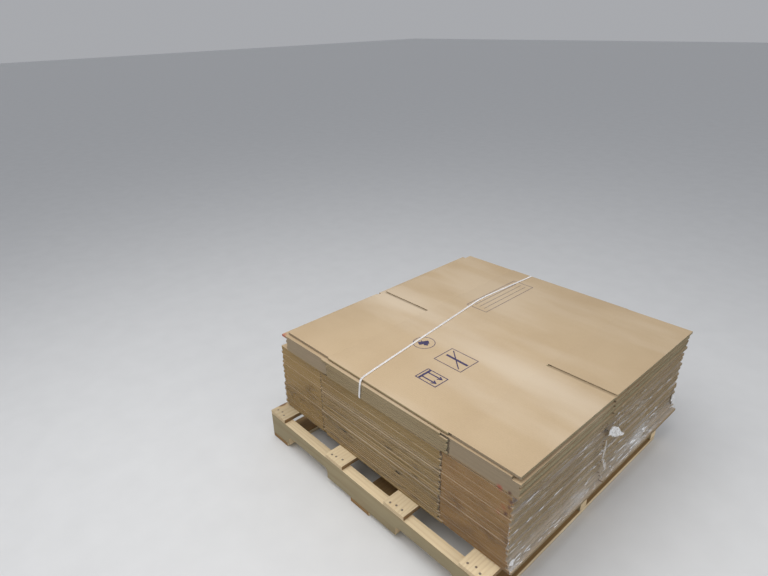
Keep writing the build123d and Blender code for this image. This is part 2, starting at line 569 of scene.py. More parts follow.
# Painted shadows between protruding carton corners
CORNER_SHADOW_DOTS = (
    ((0.493, -0.095, 0.383), 0.004, 0.9),
    ((0.500, -0.095, 0.357), 0.005, 0.9),
    ((0.497, -0.095, 0.337), 0.004, 0.9),
    ((0.488, -0.095, 0.310), 0.005, 0.9),
)
SIDE_BLOTS = (
    ((0.521, -0.215, 0.344), 0.008, 0.4),
    ((0.521, 0.151, 0.414), 0.007, 0.4),
    ((0.521, 0.445, 0.293), 0.007, 0.4),
)
BLOT_FADE = 0.012


def marks_and_corner_shadows(look, cartons, base):
    """Counting marks at a few corners as soft round blots, and dark dots painted as shadows
    between protruding corners.
    """
    ragged = look.noise((70.0, 70.0, 120.0), detail=3.0) * BLOT_FADE
    flat_front = look.place((1.0, FRONT_SQUASH, 1.0))
    for spots, source, shade in (
        (RED_BLOTS, look.own_space(), cartons.marker),
        (CORNER_SHADOW_DOTS, flat_front, SHADOW_DOT_RED),
        (SIDE_BLOTS, look.own_space(), cartons.marker),
    ):
        for spot, radius, cover in spots:
            away = look.node(
                "ShaderNodeVectorMath", {0: source, 1: spot}, "Value", operation="DISTANCE"
            )
            blot = (away + ragged).remap(radius, radius + BLOT_FADE, cover, 0.0)
            base = look.mix(blot, base, shade)
    return base


def raw_edge_finish(cartons):
    """Cut board: fibrous, browner low on the long sides, with painted shade where flaps meet
    and in a band under the top bundle.
    """
    look = Finish("raw_board_edge")
    x, y, z = look.axes()
    fibre = look.noise((500.0, 500.0, 1200.0))
    layer = look.noise((2.0, 2.0, LAYERS))
    long_side = abs(look.facing()[Y]).remap(0.6, 0.9)
    high_stack = z.remap(*BUNDLE_STEP)
    low = look.mix(x.remap(-0.1, 0.1), LOW_LEFT_FLAP, LOW_RIGHT_FLAP)
    flaps = look.mix(high_stack, low, HIGH_FLAP)
    ends = look.mix(high_stack, cartons.raw_edge, HIGH_END)
    # Painted shade: a dark brown band on the end faces right under the top bundle
    under = z.remap(0.352, 0.360) * z.remap(0.372, 0.380, 1.0, 0.0)
    ends = look.mix(under * 0.8, ends, UNDER_BUNDLE_SHADE)
    band = look.noise((0.6, 0.6, 58.0), (0.0, 0.0, 0.7), detail=1.0)
    slip = look.noise((0.0, 0.0, LAYERS), detail=0.0) * 0.010
    low_centre = size_of(LOWER_CARTONS[-1])[0].x
    top_centre = size_of(TOP_CARTONS[0])[0].x
    panel = cartons.lower_box / 2 + (cartons.top_box - cartons.lower_box) / 2 * high_stack
    centre = low_centre + (top_centre - low_centre) * high_stack
    # Painted shade on the long sides where the flaps meet the panel, in the slot between them
    notch = (abs(x - centre) - panel - slip).remap(-0.002, 0.004, 1.0, 0.0)
    base = look.tint(
        look.mix(long_side, ends, flaps),
        (fibre, 0.95, 1.05),
        (layer.remap(0.3, 0.7), 0.96, 1.02),
        (band.remap(0.36, 0.64) + long_side, 0.82, 1.06),
        (notch * long_side, 1.0, 0.42),
    )
    return look.surface(
        Base_Color=marks_and_corner_shadows(look, cartons, base),
        Roughness=0.85,
        Normal=look.bump(fibre, 0.0003, 0.6),
        Specular_IOR_Level=0.2,
    )


def wood_finish(name, wood, along, seed, tone=1.0, gap_shaded=False):
    """Sawn softwood whose grain runs along one axis, different for each seed, with painted
    shade on the upright sides, and on bottom boards painted shade on the other faces instead.
    """
    look = Finish(name)
    rng = random.Random(seed)
    shift = tuple(rng.uniform(-5.0, 5.0) for _ in range(3))

    def grained(across, lengthwise):
        return tuple(lengthwise if axis == along else across for axis in range(3))

    warp = look.noise(grained(9.0, 0.9), shift)
    axes = look.axes()
    first, second = (axis for axis in range(3) if axis != along)
    drift = rng.uniform(0.02, 0.09)
    across = axes[first] + warp * drift * 1.6 + rng.uniform(-1.0, 1.0)
    deep = axes[second] * 1.3 + warp * drift
    rings = ((across * across + deep * deep) ** 0.5 * rng.uniform(420.0, 560.0)).wave()
    rings = rings.remap(-0.4, 1.0)
    fibre = look.noise(grained(520.0, 11.0), detail=3.0, rough=0.6)
    broad = look.noise(2.5, shift)
    knots = look.node(
        "ShaderNodeTexVoronoi",
        {"Vector": look.place(grained(7.0, 4.5), shift), "Scale": 1.0},
        "Distance",
        feature="F1",
    )
    base = look.tint(
        look.mix(rings * 0.34, wood.pale_wood, wood.late_wood),
        (fibre, 0.90, 1.06),
        (broad.remap(0.3, 0.7), 0.86 * tone, 1.06 * tone),
    )
    base = look.mix(knots.remap(0.08, 0.22, 0.5, 0.0), base, wood.late_wood)
    base = look.mix(knots.remap(0.05, 0.11, 1.0, 0.0) * 0.85, base, wood.knot)
    facing = look.facing()
    end_grain = abs(facing[along]).remap(0.7, 0.9)
    base = look.mix(end_grain * 0.45, base, wood.late_wood)
    # Painted shade: the upright sides are darker than the lit tops
    side = abs(facing[first]).remap(0.6, 0.9)
    # Bottom boards: painted shade on every face but the upright sides, for the dark gap above
    # them
    if gap_shaded:
        base = look.mix(side, look.times(base, GAP_SHADE_WOOD), base)
    elif along == Y:
        base = look.mix(side * 0.75, base, BOARD_SIDE_STAIN)
        base = look.mix(side, base, look.times(base, BOARD_SIDE_SHADE))
    else:
        base = look.mix(side, base, look.times(base, STRINGER_SIDE_SHADE))
    saw = (axes[along] * (math.tau / 0.0045) + warp * 9.0).wave()
    height = fibre * 0.5 + rings * 0.25 + saw * 0.18
    return look.surface(
        Base_Color=base,
        Roughness=0.66 + fibre * 0.2,
        Normal=look.bump(height, 0.0007, 0.55),
        Specular_IOR_Level=0.3,
    )


def film_finish(film):
    """Clear stretch film: nearly invisible, with white streaks along the wrap that are partly
    milky film and partly painted highlights and glints.
    """
    look = Finish("stretch_film")
    streak = look.noise((1.6, 1.6, 80.0), detail=4.0, rough=0.55)
    thread = look.noise((9.0, 9.0, 420.0), (0.4, 0.2, 0.0))
    glint = look.noise((24.0, 24.0, 300.0), (3.4, 0.7, 0.0), detail=1.0)
    patch = look.noise((3.5, 3.5, 8.0), (1.1, 0.0, 0.0))
    milk = look.noise((2.4, 6.0, 16.0), (0.2, 0.9, 0.3))
    # The white haze and painted highlights are nearly cut away on the front faces, where
    # little light catches the film
    front = (0.0 - look.facing()[Y]).remap(0.5, 0.9)
    low_half = look.axes()[Z].remap(0.22, 0.33, 1.0, 0.35)
    haze_and_sheen = streak.remap(0.46, 0.74) * patch.remap(0.38, 0.60) * 0.20
    haze_and_sheen = haze_and_sheen + thread.remap(0.58, 0.74) * patch.remap(0.42, 0.56) * 0.22
    haze_and_sheen = haze_and_sheen + milk.remap(0.52, 0.72) * 0.20
    # Glints are painted highlights off the film's wrinkles
    haze_and_sheen = haze_and_sheen + glint.remap(0.62, 0.66) * patch.remap(0.38, 0.50) * 0.9
    haze_and_sheen = (haze_and_sheen + 0.05) * low_half * front.remap(0.0, 1.0, 1.0, 0.03)
    ripple = streak * 0.6 + thread * 0.4
    return look.surface(
        Base_Color=film.clear,
        Roughness=0.18,
        IOR=1.5,
        Specular_IOR_Level=1.0,
        Alpha=(0.022 + haze_and_sheen).clamp(),
        Normal=look.bump(ripple, 0.003, 0.6),
    )


def gathered_film_finish(film, name, cover):
    look = Finish(name)
    fold = look.noise((160.0, 160.0, 90.0), detail=3.0)
    return look.surface(
        Base_Color=film.clear,
        Roughness=0.22,
        Specular_IOR_Level=0.8,
        Alpha=fold.remap(0.35, 0.65, cover * 0.4, cover),
        Normal=look.bump(fold, 0.002, 0.7),
    )


def twine_finish(twine):
    look = Finish("white_twine")
    hair = look.noise(1500.0)
    dirt = look.noise(14.0, detail=3.0)
    base = look.tint(twine.white, (hair, 0.90, 1.08), (dirt.remap(0.45, 0.75), 1.0, 0.92))
    return look.surface(
        Base_Color=base,
        Roughness=0.55,
        Sheen_Weight=0.2,
        Normal=look.bump(hair, 0.0003, 0.5),
    )


def ink_finish(cartons):
    """Printing ink that leaves the paper showing in places."""
    look = Finish("printing_ink")
    patchy = look.noise(330.0, detail=3.0, rough=0.7)
    flutes = look.axes()[Y].wave(cartons.flute_pitch)
    cover = patchy.remap(0.30, 0.60, 0.68, 0.98) + flutes * 0.05
    return look.surface(
        Base_Color=cartons.ink,
        Roughness=0.6,
        Specular_IOR_Level=0.3,
        Alpha=cover.clamp(),
    )


def steel_finish(wood):
    look = Finish("nail_steel")
    rust = look.noise(700.0)
    return look.surface(
        Base_Color=look.mix(rust.remap(0.45, 0.7), wood.steel, NAIL_RUST),
        Metallic=0.85,
        Roughness=0.42 + rust * 0.3,
        Normal=look.bump(rust, 0.0002, 0.4),
    )


# Cartons

# How far a carton juts out at the front
JUTTING = {
    "lower_carton_07": 0.0007,
    "lower_carton_11": 0.0016,
    "lower_carton_15": 0.0006,
    "lower_carton_20": 0.0010,
    "lower_carton_21": 0.0017,
    "lower_carton_26": 0.0014,
    TOP_CARTON: -0.0030,
}
# Distances between the cuts that let a wall sag
WALL_STEP_X = 0.09
WALL_STEP_Y = 0.08
# 1 would leave the folds round, and less presses them squarer
FOLD_POWER = 0.5
# The fluting is this much shallower and narrower than the pocket that holds it
FLUTING_SHARE = 0.96
FLUTING_PLAY = 0.0004
# How many cartons right under the top bundle droop
PRESSED = 8
# How far the top bundle has slid under its top carton
BUNDLE_SLIDE = Vector((-0.004, -0.0065, 0))


class Blank:
    """Sizes of one flattened carton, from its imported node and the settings."""

    def __init__(self, cartons, node, body):
        size = size_of(node)[1]
        half = (size.z - cartons.settling) / 2
        self.length = size.x
        self.body = body
        self.side = body / 2
        self.flap = (size.x - body) / 2
        self.flat = size.y - 2 * half
        self.edge = self.flat / 2
        self.wall = half - cartons.ply_gap / 2
        self.middle = (half + cartons.ply_gap / 2) / 2
        self.slot = cartons.narrow_panel - size.y / 2
        self.slot_low = self.slot - cartons.slot_width / 2
        self.slot_high = self.slot + cartons.slot_width / 2


def extrude(distance):
    """Extrudes the picked faces along X."""
    bpy.ops.mesh.extrude_region_move(TRANSFORM_OT_translate={"value": (distance, 0, 0)})


def lift_picked(distance):
    bpy.ops.transform.translate(value=(0, 0, distance))


def grid(name, cells, size, centre=(0, 0, 0)):
    deselect()
    bpy.ops.mesh.primitive_grid_add(
        x_subdivisions=cells[0], y_subdivisions=cells[1], size=1, location=centre
    )
    bpy.context.active_object.scale = (*size, 1)
    return named(name)


def wall_sheet(cartons, blank):
    """One wall of a flattened carton, above z = 0, with its four flaps."""
    side, edge, low, high = blank.side, blank.edge, blank.slot_low, blank.slot_high
    sheet = block("carton_wall", (0, 0, blank.middle), (blank.body, blank.flat, blank.wall))
    edit()
    crease = cartons.crease_width / 2
    cut(Y, low, blank.slot, high)
    cut(Y, *spread(-edge, low, WALL_STEP_Y), *spread(high, edge, WALL_STEP_Y))
    cut(X, crease - side, side - crease, *spread(-side, side, WALL_STEP_X))
    stretch = (blank.flap - crease - cartons.flute_depth) / 3
    for way in (-1, 1):
        pick(
            sheet, lambda place, normal: normal.x * way > 0.9 and not low < place.y < high
        )
        for step in (crease, stretch, stretch, stretch, cartons.flute_depth):
            extrude(way * step)
        bpy.ops.mesh.inset(thickness=cartons.liner, use_even_offset=True)
        extrude(-way * cartons.flute_depth)
    for depth, creased in (
        (cartons.crease_depth, lambda x, y: abs(abs(x) - side) < NEAR),
        (
            cartons.crease_depth / 2,
            lambda x, y: abs(y - blank.slot) < NEAR and abs(x) < side - crease,
        ),
    ):
        pick(
            sheet,
            lambda place, normal: place.z > blank.middle and creased(place.x, place.y),
            "VERT",
        )
        lift_picked(-depth)
    leave()
    return sheet


def fold_walls(sheet, blank):
    """Turns a copy of the wall underneath, with two pressed folds between them."""
    side, edge = blank.side, blank.edge
    edit()
    bpy.ops.mesh.select_all(action="SELECT")
    bpy.ops.mesh.duplicate_move()
    bpy.ops.transform.resize(value=(1, -1, -1), center_override=(0, 0, 0))
    pick(
        sheet,
        lambda place, normal: abs(normal.y) > 0.9
        and abs(abs(place.y) - edge) < NEAR
        and abs(place.x) < side,
    )
    bpy.ops.mesh.delete(type="ONLY_FACE")
    for way in (-1, 1):

        def on_rim(*ends):
            start, end = ends
            beside = all(
                abs(place.y - way * edge) < NEAR
                and place.z > 0
                and abs(place.x) < side + NEAR
                for place in ends
            )
            level = abs(start.z - end.z) < blank.wall / 2
            return beside and (level or abs(abs(start.x) - side) < NEAR)

        pick(sheet, on_rim, "EDGE")
        bpy.ops.mesh.spin(
            steps=6, angle=way * math.pi, center=(0, way * edge, 0), axis=(1, 0, 0)
        )
    bpy.ops.mesh.select_all(action="SELECT")
    bpy.ops.mesh.remove_doubles(threshold=0.00002)
    bpy.ops.mesh.normals_make_consistent(inside=False)
    leave()
    for vertex in sheet.data.vertices:
        out = abs(vertex.co.y) - edge
        if out > NEAR:
            radius = math.hypot(out, vertex.co.z)
            away = edge + radius * (out / radius) ** FOLD_POWER
            rise = radius * (abs(vertex.co.z) / radius) ** FOLD_POWER
            vertex.co.y = math.copysign(away, vertex.co.y)
            vertex.co.z = math.copysign(rise, vertex.co.z)


def fluting(cartons, blank):
    """The waved paper for both flaps' pockets at one end of the upper wall."""
    rise = blank.wall / 2 - cartons.liner - cartons.flute_paper / 2
    depth = cartons.flute_depth * FLUTING_SHARE
    waves = []
    for low, high in ((-blank.edge, blank.slot_low), (blank.slot_high, blank.edge)):
        width = high - low - 2 * cartons.liner - FLUTING_PLAY
        count = 4 * round(width / cartons.flute_pitch)
        middle = (low + high) / 2
        wave = grid("fluting", (1, count), (depth, width), (0, middle, blank.middle))
        start = middle - width / 2
        step = width / count
        for turn, lift in (((0, 1), rise), ((2, 3), -rise)):
            pick(
                wave,
                lambda place, normal: round((place.y - start) / step) % 4 in turn,
                "VERT",
            )
            lift_picked(lift)
            leave()
        apply_modifier(wave, "SOLIDIFY", thickness=cartons.flute_paper, offset=0.0)
        waves.append(wave)
    return join("fluting", waves)


def model_carton(cartons, blank, liner_look, edge_look):
    """One flattened carton round the origin, with open flutes at both ends."""
    sheet = wall_sheet(cartons, blank)
    fold_walls(sheet, blank)
    sheet.data.materials.append(liner_look)
    sheet.data.materials.append(edge_look)
    for face in sheet.data.polygons:
        place, normal = face.center, face.normal
        past_fold = abs(place.x) > blank.side - NEAR
        at_side = abs(place.y) > blank.edge - 0.0005
        at_slot = abs(abs(place.y) - abs(blank.slot)) < cartons.slot_width
        side_cut = abs(normal.y) > 0.7 and (at_side or at_slot)
        face.material_index = int(past_fold and (abs(normal.x) > 0.7 or side_cut))
    upper = fluting(cartons, blank)
    upper.data.materials.append(edge_look)
    inset = blank.length / 2 - cartons.flute_depth / 2
    parts = [sheet]
    for side in (-1, 1):
        wave = copy_of(upper, "fluting", (side * inset, 0, 0))
        under = copy_of(wave, "fluting", (0, 0, 0))
        under.data.transform(Matrix.Diagonal((1, -1, -1, 1)))
        parts += [wave, under]
    remove(upper)
    return join("carton", parts)


def droop(piece, node, depth, reach=0.09):
    """Lowers a carton's rim, so that the ones on top of it stand clear."""
    low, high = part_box(node)
    for vertex in piece.data.vertices:
        x, y = vertex.co.x, vertex.co.y
        inward = min(x - low.x, high.x - x, y - low.y, high.y - y)
        vertex.co.z -= depth * max(0.0, 1 - inward / reach) ** 2


def calmed(node, share=0.7):
    """How far to move a lower carton so that its long sides line up better."""
    at = LOWER_CARTONS.index(node)
    near = LOWER_CARTONS[max(0, at - 2):at + 3]
    middle = sum(size_of(other)[0].y for other in near) / len(near)
    return share * (middle - size_of(node)[0].y)


def skew(piece, angle):
    """Turns a carton of the top bundle a little under the top one."""
    centre = size_of(TOP_CARTONS[0])[0]
    turn = Matrix.Rotation(angle, 4, "Z")
    slide = Matrix.Translation(centre + BUNDLE_SLIDE)
    piece.data.transform(slide @ turn @ Matrix.Translation(-centre))


def settle(piece, cartons, rise=1.0, creeping=True):
    """Sags a piece with the stack under it, and lets it stray with its layer."""
    thin = ruler("layer_ruler", scale=(1, 1, 0.08))
    creep = clouds("creep", 0.80)
    moves = [
        (clouds("sag", 0.45), "Z", cartons.sag * rise, 1.0),
        (clouds("stray", 0.30), "Z", cartons.looseness, 0.5, thin),
        (creep, "Y", cartons.looseness * 2.0, 0.5, thin),
        (creep, "X", cartons.looseness * 8.0, 0.5, thin),
    ]
    for move in moves if creeping else moves[:2]:
        displace(piece, *move)
    remove(thin)


class LOAD_OT_cartons(bpy.types.Operator):
    """Model the flattened cartons, each slipped and waved a little differently"""

    bl_idname = "load.cartons"
    bl_label = "Cartons"

    def execute(self, context):
        cartons = settings("cartons")
        looks = kraft_finish(cartons), raw_edge_finish(cartons)
        lower_blank = Blank(cartons, LOWER_CARTONS[0], cartons.lower_box)
        top_blank = Blank(cartons, TOP_CARTON, cartons.top_box)
        lower = model_carton(cartons, lower_blank, *looks)
        top = model_carton(cartons, top_blank, *looks)
        stack = [*LOWER_CARTONS, *TOP_CARTONS]
        for level, node in enumerate(stack, start=1):
            model = lower if node in LOWER_CARTONS else top
            centre = size_of(node)[0]
            centre.z -= cartons.settling / 2
            centre.y -= JUTTING.get(node, 0.0)
            if model == lower:
                centre.y += calmed(node)
            piece = copy_of(model, node + "_board", centre)
            if node in TOP_CARTONS[:-1]:
                share = (TOP_CARTONS.index(node) + 1) / len(TOP_CARTONS)
                droop(piece, node, cartons.droop * share)
                skew(piece, cartons.skew)
            elif node in LOWER_CARTONS[-PRESSED:]:
                share = 1 - LOWER_CARTONS[::-1].index(node) / PRESSED
                droop(piece, node, cartons.pressing * share)
            settle(piece, cartons, level / len(stack))
            smooth(piece, 40)
            seat(piece, "kraft_board", node)
        remove(lower, top)
        return {"FINISHED"}


# Handling marks

# How far the ink stands off the paper, and distance between the cuts that let it sag
MARK_LIFT = 0.0002
INK_THICKNESS = 0.0001
MARK_STEP = 0.02
# Centres and sizes of the printed marks, from above
ARROWS = (0.080, -0.3087)
ARROWS_SIZE = (0.0827, 0.0575)
CROSSED = (0.0666, -0.179)
CROSSED_SIZE = (0.111, 0.088)
STAMP = (-0.0807, -0.1745)
STAMP_RADIUS = 0.0386
PANEL = (-0.118, 0.300)
PANEL_SIZE = (0.092, 0.300)
# Start, end and width of single bars: one in the crossed mark and its two strokes,
# and three in the stamp
CROSSED_BARS = (
    ((0.028, -0.1770), (0.111, -0.1795), 0.009),
    ((0.025, -0.1440), (0.068, -0.1812), 0.0036),
    ((0.068, -0.1812), (0.1055, -0.2130), 0.0036),
)
STAMP_BARS = (
    ((-0.0865, -0.183), (-0.078, -0.168), 0.019),
    ((-0.0775, -0.165), (-0.069, -0.177), 0.014),
    ((-0.096, -0.172), (-0.084, -0.176), 0.004),
)


def flat_bar(start, end, width, lift):
    """A thin printed bar between two places on the top carton."""
    start, end = Vector(start), Vector(end)
    run = end - start
    deselect()
    bpy.ops.mesh.primitive_plane_add(size=1, location=(0, 0, 0))
    bar = bpy.context.active_object
    bar.data.transform(Matrix.Diagonal((run.length + width, width, 1, 1)))
    turn = Matrix.Rotation(math.atan2(run.y, run.x), 4, "Z")
    middle = (start + end) / 2
    bar.data.transform(Matrix.Translation((middle.x, middle.y, lift)) @ turn)
    return bar


def outline(centre, size, width):
    """The four bars of a printed box."""
    x, y = centre
    w, d = size[0] / 2, size[1] / 2
    corners = [(x - w, y - d), (x + w, y - d), (x + w, y + d), (x - w, y + d)]
    return [(a, b, width) for a, b in zip(corners, corners[1:] + corners[:1])]


def arrow_bars():
    """Two arrows that stand on one bar."""
    x, y = ARROWS
    bars = []
    for side in (-1, 1):
        stem = y + side * 0.0138
        bars.append(((x - 0.026, stem), (x + 0.026, stem), 0.005))
        for wing in (-1, 1):
            bars.append(((x + 0.030, stem), (x + 0.018, stem + wing * 0.007), 0.004))
    return [*bars, ((x - 0.0295, y - 0.022), (x - 0.0295, y + 0.023), 0.008)]


def ring(centre, radius, width, lift):
    deselect()
    bpy.ops.mesh.primitive_circle_add(
        vertices=40, radius=radius, fill_type="NGON", location=(*centre, lift)
    )
    made = named("ring")
    edit()
    bpy.ops.mesh.select_all(action="SELECT")
    bpy.ops.mesh.inset(thickness=width)
    bpy.ops.mesh.delete(type="FACE")
    leave()
    return made


class LOAD_OT_marks(bpy.types.Operator):
    """Print plain handling marks on the top carton"""

    bl_idname = "load.marks"
    bl_label = "Handling marks"

    def execute(self, context):
        lift = LOAD_TOP + MARK_LIFT
        x, y = PANEL
        bars = [
            *outline(ARROWS, ARROWS_SIZE, 0.0032),
            *arrow_bars(),
            *outline(CROSSED, CROSSED_SIZE, 0.0026),
            *CROSSED_BARS,
            *STAMP_BARS,
            *outline(PANEL, PANEL_SIZE, 0.0018),
            *(
                ((x + row, y - 0.130), (x + row, y + 0.130), 0.0016)
                for row in (-0.022, 0.0, 0.022)
            ),
        ]
        pieces = [flat_bar(*bar, lift) for bar in bars]
        marks = join("handling_marks", [*pieces, ring(STAMP, STAMP_RADIUS, 0.0022, lift)])
        edit()
        slice_up(TOP_CARTON, (X, MARK_STEP), (Y, MARK_STEP))
        leave()
        apply_modifier(marks, "SOLIDIFY", thickness=INK_THICKNESS, offset=0.0)
        cartons = settings("cartons")
        settle(marks, cartons, creeping=False)
        seat(marks, "kraft_board", look=ink_finish(cartons))
        return {"FINISHED"}


# Pallet

# Brightness of each board, then of each stringer
WOOD_TONES = (0.62, 1.02, 1.0, 0.95, 0.95, 0.95, 0.95, 1.12, 0.95, 0.95)
# Distances between the cuts that let the wood's faces wander, and how far they do
BOARD_STEPS = ((Y, 0.045), (X, 0.03))
STRINGER_STEP = 0.05
SAWN_DEPTH = 0.0012
# Where a board's three nails stand across its width, and how far they wander
NAIL_SHARES = (0.24, 0.45, 0.72)
NAIL_WANDER = 0.03
ROW_WANDER = 0.008
# Height of a nail's head, and how deep its middle sits in the wood
NAIL_HEIGHT = 0.0016
NAIL_SUNK = 0.0011


def worn(piece, wood, seed):
    """Rounds a board's edges and lets its faces wander a little, inwards only."""
    apply_modifier(
        piece, "BEVEL", width=wood.edge_round, segments=2, limit_method="ANGLE"
    )
    space = ruler("sawn_ruler", (seed * 1.7, seed * 0.9, 0))
    displace(piece, clouds("sawn", 0.05, 2), "NORMAL", SAWN_DEPTH, 1.0, space)
    remove(space)
    smooth(piece, 35)


def sawn_board(node, wood, seed, tone):
    """A board cut into short stretches so that it can wander."""
    board = block(node + "_wood", *size_of(node))
    edit()
    slice_up(node, *BOARD_STEPS)
    leave()
    worn(board, wood, seed)
    # Bottom boards get painted shade for the dark gap under the deck
    gap_shaded = node in BOTTOM_BOARDS
    look = wood_finish(node + "_grain", wood, Y, seed, tone, gap_shaded)
    seat(board, "pallet_wood", node, look=look)


def stringer(node, wood, seed, tone):
    """A stringer with two rounded fork notches cut from below."""
    centre, size = size_of(node)
    beam = block(node + "_wood", centre, size)
    edit()
    slice_up(node, (X, STRINGER_STEP))
    leave()
    offset = size.x / 2 - wood.foot_length - wood.notch_length / 2
    for side in (-1, 1):
        cutter = block(
            "notch",
            (centre.x + side * offset, centre.y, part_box(node)[0].z),
            (wood.notch_length, size.y * 2, 2 * wood.notch_depth),
        )
        pick(
            cutter,
            lambda start, end: max(abs(start.x - end.x), abs(start.z - end.z)) < 0.001,
            "EDGE",
        )
        bpy.ops.mesh.bevel(offset=wood.notch_radius, segments=6)
        leave()
        apply_modifier(beam, "BOOLEAN", object=cutter, operation="DIFFERENCE")
        remove(cutter)
    worn(beam, wood, seed)
    look = wood_finish(node + "_grain", wood, X, seed, tone)
    seat(beam, "pallet_wood", node, look=look)


def nail(wood, place, facing):
    """A nail's head, dished a little, facing up or down."""
    radius = wood.nail_head / 2
    deselect()
    bpy.ops.mesh.primitive_cylinder_add(
        vertices=12, radius=radius, depth=NAIL_HEIGHT, location=place
    )
    head = named("nail")
    pick(head, lambda centre, normal: normal.z * facing > 0.9)
    for share, lift in ((0.22, 0.0003), (0.35, -0.0003)):
        bpy.ops.mesh.inset(thickness=radius * share)
        lift_picked(facing * lift)
    leave()
    return head


def board_nails(wood, board, facing, rng):
    """The heads of one board's nails, three over each stringer."""
    low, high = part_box(board)
    level = high.z if facing > 0 else low.z
    heads = []
    for beam in STRINGERS:
        for share in NAIL_SHARES:
            place = (
                low.x + (high.x - low.x) * (share + rng.uniform(-NAIL_WANDER, NAIL_WANDER)),
                size_of(beam)[0].y + rng.uniform(-ROW_WANDER, ROW_WANDER),
                level - facing * NAIL_SUNK,
            )
            heads.append(nail(wood, place, facing))
    return heads


class LOAD_OT_pallet(bpy.types.Operator):
    """Model the pallet's stringers, boards and nails"""

    bl_idname = "load.pallet"
    bl_label = "Pallet"

    def execute(self, context):
        wood = settings("wood")
        boards = [*TOP_BOARDS, *BOTTOM_BOARDS]
        for seed, (node, tone) in enumerate(zip([*boards, *STRINGERS], WOOD_TONES), 3):
            model = sawn_board if node in boards else stringer
            model(node, wood, seed, tone)
        rng = random.Random(11)
        for group, boards, facing in (
            ("deck_nails", TOP_BOARDS, 1),
            ("base_nails", BOTTOM_BOARDS, -1),
        ):
            heads = []
            for board in boards:
                heads += board_nails(wood, board, facing, rng)
            nails = join(group, heads)
            smooth(nails, 30)
            seat(nails, "pallet_wood", look=steel_finish(wood))
        return {"FINISHED"}


# Film

# Ends, flat width and cover of the gathered scraps of film
FILM_SCRAPS = (
    (((0.521, -0.014, 0.336), (0.543, 0.036, 0.306)), 0.026, 0.9),
    (((0.521, -0.474, 0.176), (0.521, -0.466, 0.152)), 0.014, 0.9),
    (((0.512, 0.500, 0.200), (0.512, 0.528, 0.130)), 0.022, 0.9),
    (((0.5265, -0.030, 0.312), (0.5275, -0.042, 0.236)), 0.012, 0.35),
    (((0.5275, -0.034, 0.240), (0.5285, -0.010, 0.190)), 0.011, 0.35),
)
# The scraps' folds: direction, and depth as a share of the flat width
SCRAP_FOLDS = (("X", 0.35), ("Y", 0.9), ("Z", 0.6))
FILM_THICKNESS = 0.00012
SCRAP_THICKNESS = 0.00015
# Distances between the cuts in the wrap, upwards and along it
FILM_RISE = 0.009
FILM_STEP = 0.008


def film_reach(level, side, film):
    """How far out the film lies at one height, stretched past the nearest cartons."""
    axis, sign = side
    reaches = [
        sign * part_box(node)[sign > 0][axis]
        - film.span * abs(size_of(node)[0].z - level)
        + (JUTTING.get(node, 0.0) if side == (Y, -1) else 0.0)
        for node in LOWER_CARTONS
    ]
    return sign * (max(reaches) + film.slack)


def crumple(name, places, size, look, seed):
    """A gathered scrap of film between two places, stood off the stack."""
    start, end = Vector(places[0]), Vector(places[1])
    run = end - start
    scrap = grid(name, (28, 14), (run.length, size))
    for vertex in scrap.data.vertices:
        share = max(0.0, vertex.co.x / run.length + 0.5)
        vertex.co.y *= 0.25 + 0.95 * math.sin(math.pi * share ** 0.7)
    out = Vector((1, 0, 0))
    along = run.normalized()
    turn = Matrix((along, out.cross(along).normalized(), out)).transposed().to_4x4()
    scrap.data.transform(Matrix.Translation((start + end) / 2) @ turn)
    folds = clouds("scrap_folds", 0.018, 3)
    space = ruler("scrap_ruler", (seed * 0.37, seed * 0.91, seed * 0.53))
    for direction, share in SCRAP_FOLDS:
        displace(scrap, folds, direction, size * share, space=space)
        space.location.x += 0.31
        bpy.context.view_layer.update()
    remove(space)
    apply_modifier(scrap, "SOLIDIFY", thickness=SCRAP_THICKNESS, offset=0.0)
    smooth(scrap, 60)
    seat(scrap, "clear_film", look=look)


